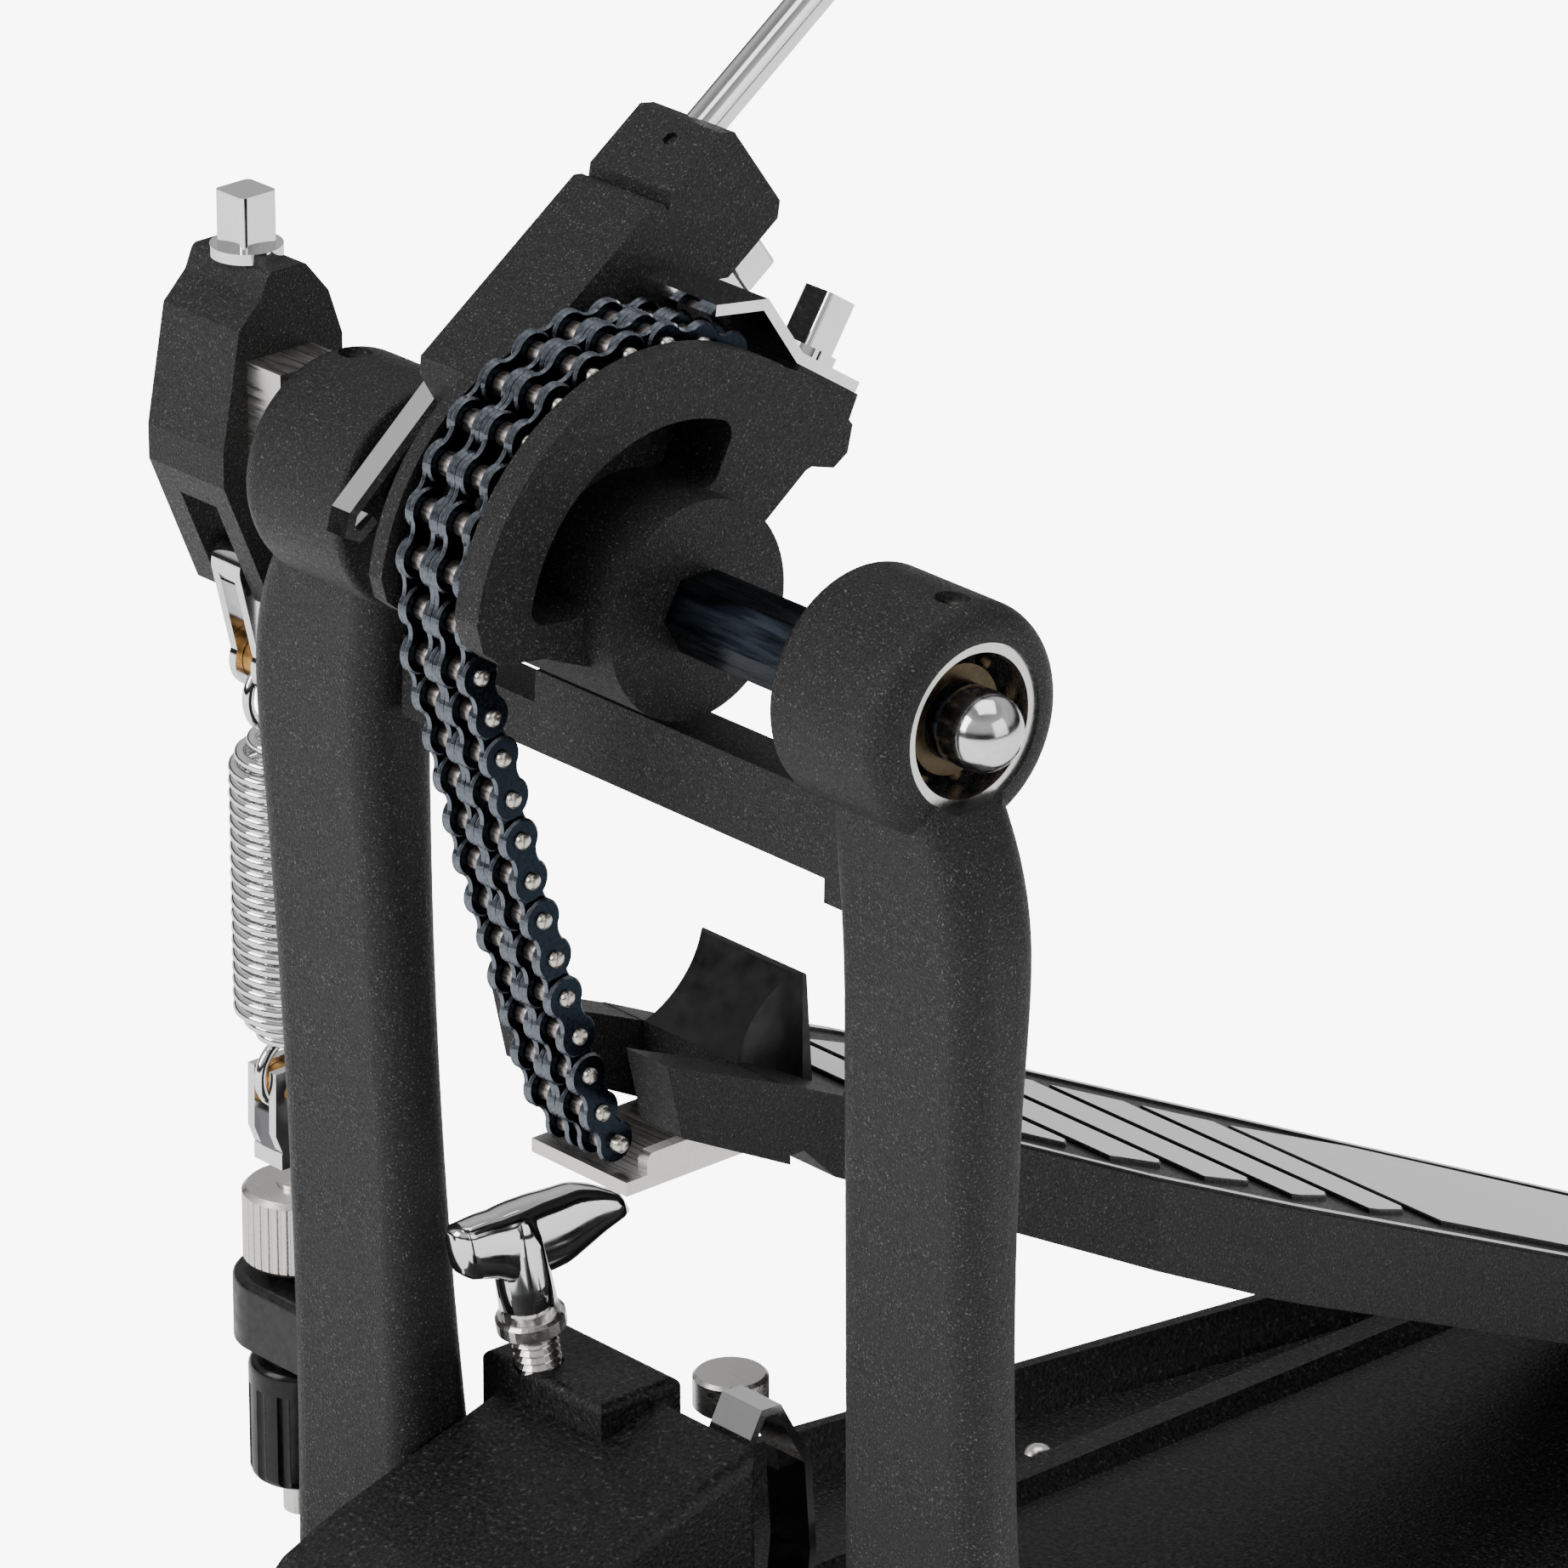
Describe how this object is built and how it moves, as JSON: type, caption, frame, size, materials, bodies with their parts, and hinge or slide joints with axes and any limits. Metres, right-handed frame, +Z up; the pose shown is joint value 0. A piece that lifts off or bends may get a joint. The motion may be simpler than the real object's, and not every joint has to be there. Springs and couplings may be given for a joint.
{
  "type": "bass_drum_pedal",
  "caption": "Chain-driven bass drum pedal: twin cast posts on a base plate, hex axle with cam and felt beater, forked footboard, spring tensioner and hoop clamp.",
  "frame": {"origin": "On the floor under the middle of the axle, between the two posts.", "axes": "+X along the axle towards the near post, -Y towards the drum, +Y towards the player, +Z up."},
  "size_m": [0.1677, 0.336, 0.3179],
  "materials": {
    "coated_casting": "textured",
    "base_coat": "textured",
    "toe_stop_black": "satin",
    "rubber": "matte",
    "bearing_steel": "polished",
    "axle_steel": "blued",
    "plated_steel": "nickel plated",
    "chrome": "polished",
    "chain_black": "blackened",
    "chain_pins": "plain",
    "bush": "oiled",
    "arm_black": "satin",
    "core_plastic": "satin",
    "felt": "felted"
  },
  "bodies": {
    "frame": {"near_post": "coated_casting", "far_post": "coated_casting", "crossbar": "coated_casting", "base_casting": "coated_casting", "base_plate": "base_coat", "plate_rivets": "plated_steel", "rubber_pads": "rubber", "heel_block": "coated_casting", "heel_hinge_pin": "plated_steel", "housing_screws": "plated_steel", "near_bearing_outer_ring": "bearing_steel", "far_bearing_outer_ring": "bearing_steel", "tension_arm": "arm_black", "clamp_pivot_pin": "plated_steel", "clamp_stop_screw": "plated_steel", "clamp_return_spring": "plated_steel", "tension_rod": "plated_steel"},
    "axle": {"hex_axle": "axle_steel", "axle_end_ball": "bearing_steel", "near_bearing_inner_ring": "bearing_steel", "far_bearing_inner_ring": "bearing_steel", "near_bearing_balls": "bearing_steel", "far_bearing_balls": "bearing_steel", "cam": "coated_casting", "chain_clip": "plated_steel", "clip_bolt": "chrome", "beater_hub": "coated_casting", "beater_clamp": "coated_casting", "beater_clamp_bolt": "chrome", "stop_plate": "chrome", "rocker": "coated_casting", "rocker_core": "axle_steel", "rocker_bolt": "chrome", "rocker_tip_pin": "plated_steel", "wrapped_chain_plates": "chain_black", "wrapped_chain_rollers": "chain_pins", "wrapped_chain_pins": "chain_pins", "leading_chain_pin": "chain_pins"},
    "beater": {"beater_rod": "chrome", "beater_core": "core_plastic", "beater_felt": "felt"},
    "chain_link_1": {"chain_link_1": "chain_black"},
    "chain_link_2": {"chain_link_2": "chain_black"},
    "chain_link_3": {"chain_link_3": "chain_black"},
    "chain_run": {"free_chain_plates": "chain_black", "free_chain_rollers": "chain_pins", "free_chain_pins": "chain_pins"},
    "board": {"footboard": "coated_casting", "toe_stop": "toe_stop_black", "chain_bracket": "plated_steel", "bracket_screw": "plated_steel"},
    "spring_top": {"spring_stirrup": "chrome", "upper_bush": "bush", "tension_spring": "chrome"},
    "spring_bottom": {"lower_clevis": "chrome", "lower_bush": "bush"},
    "nut": {"knurled_nut": "plated_steel"},
    "knob": {"lock_knob": "arm_black"},
    "clamp": {"clamp_lever": "coated_casting"},
    "wing": {"wing_bolt": "chrome"}
  },
  "joints": [
    {"name": "axle_turn", "type": "hinge", "parent": "frame", "child": "axle", "pos_m": [0, 0, 0.185], "axis": [1, 0, 0], "range_deg": [0, 55], "stiffness_Nm_per_rad": 0.9, "springref_deg": -20.05},
    {"name": "beater_slide", "type": "slide", "parent": "axle", "child": "beater", "axis": [0, 0.8192, 0.5736], "range_m": [-0.012, 0.015]},
    {"name": "link_1_turn", "type": "hinge", "parent": "axle", "child": "chain_link_1", "pos_m": [-0.00645, -0.0186, 0.20941], "axis": [1, 0, 0], "range_deg": [-15.7, 0]},
    {"name": "link_2_turn", "type": "hinge", "parent": "chain_link_1", "child": "chain_link_2", "pos_m": [-0.00645, -0.02272, 0.20463], "axis": [1, 0, 0], "range_deg": [-13.8, 0]},
    {"name": "link_3_turn", "type": "hinge", "parent": "chain_link_2", "child": "chain_link_3", "pos_m": [-0.00645, -0.0257, 0.19907], "axis": [1, 0, 0], "range_deg": [-13.7, 0]},
    {"name": "chain_run_turn", "type": "hinge", "parent": "chain_link_3", "child": "chain_run", "pos_m": [-0.00645, -0.02738, 0.19299], "axis": [1, 0, 0], "range_deg": [-19.8, 0]},
    {"name": "board_turn", "type": "hinge", "parent": "frame", "child": "board", "pos_m": [-0.0065, 0.222, 0.012], "axis": [1, 0, 0], "range_deg": [0, 7.55]},
    {"name": "spring_turn", "type": "hinge", "parent": "axle", "child": "spring_top", "pos_m": [-0.0785, -0.0008, 0.165], "axis": [1, 0, 0], "range_deg": [-67.32, 0]},
    {"name": "spring_stretch", "type": "slide", "parent": "spring_top", "child": "spring_bottom", "axis": [0, 0.0657, -0.9978], "range_m": [0, 0.00896], "deforming": ["tension_spring"]},
    {"name": "nut_turn", "type": "hinge", "parent": "frame", "child": "nut", "pos_m": [-0.0785, 0.0056, 0.066], "axis": [0, 0, 1], "continuous": true},
    {"name": "knob_turn", "type": "hinge", "parent": "frame", "child": "knob", "pos_m": [-0.0785, 0.0056, 0.037], "axis": [0, 0, 1], "continuous": true},
    {"name": "clamp_turn", "type": "hinge", "parent": "frame", "child": "clamp", "pos_m": [-0.021, -0.016, 0.026], "axis": [1, 0, 0], "range_deg": [-5, 0]},
    {"name": "wing_turn", "type": "hinge", "parent": "clamp", "child": "wing", "pos_m": [-0.0376, 0.0136, 0.0575], "axis": [0, -0.19, 0.9818], "range_deg": [0, 20]}
  ],
  "couplings": [
    {"joint": "link_1_turn", "follows": "axle_turn", "ratio": -0.26727},
    {"joint": "link_2_turn", "follows": "axle_turn", "ratio": -0.23273},
    {"joint": "link_3_turn", "follows": "axle_turn", "ratio": -0.23091},
    {"joint": "chain_run_turn", "follows": "axle_turn", "ratio": -0.34182},
    {"joint": "board_turn", "follows": "axle_turn", "ratio": 0.13182},
    {"joint": "spring_turn", "follows": "axle_turn", "ratio": -1.2059},
    {"joint": "spring_stretch", "follows": "axle_turn", "m_per_rad": 0.008817}
  ]
}
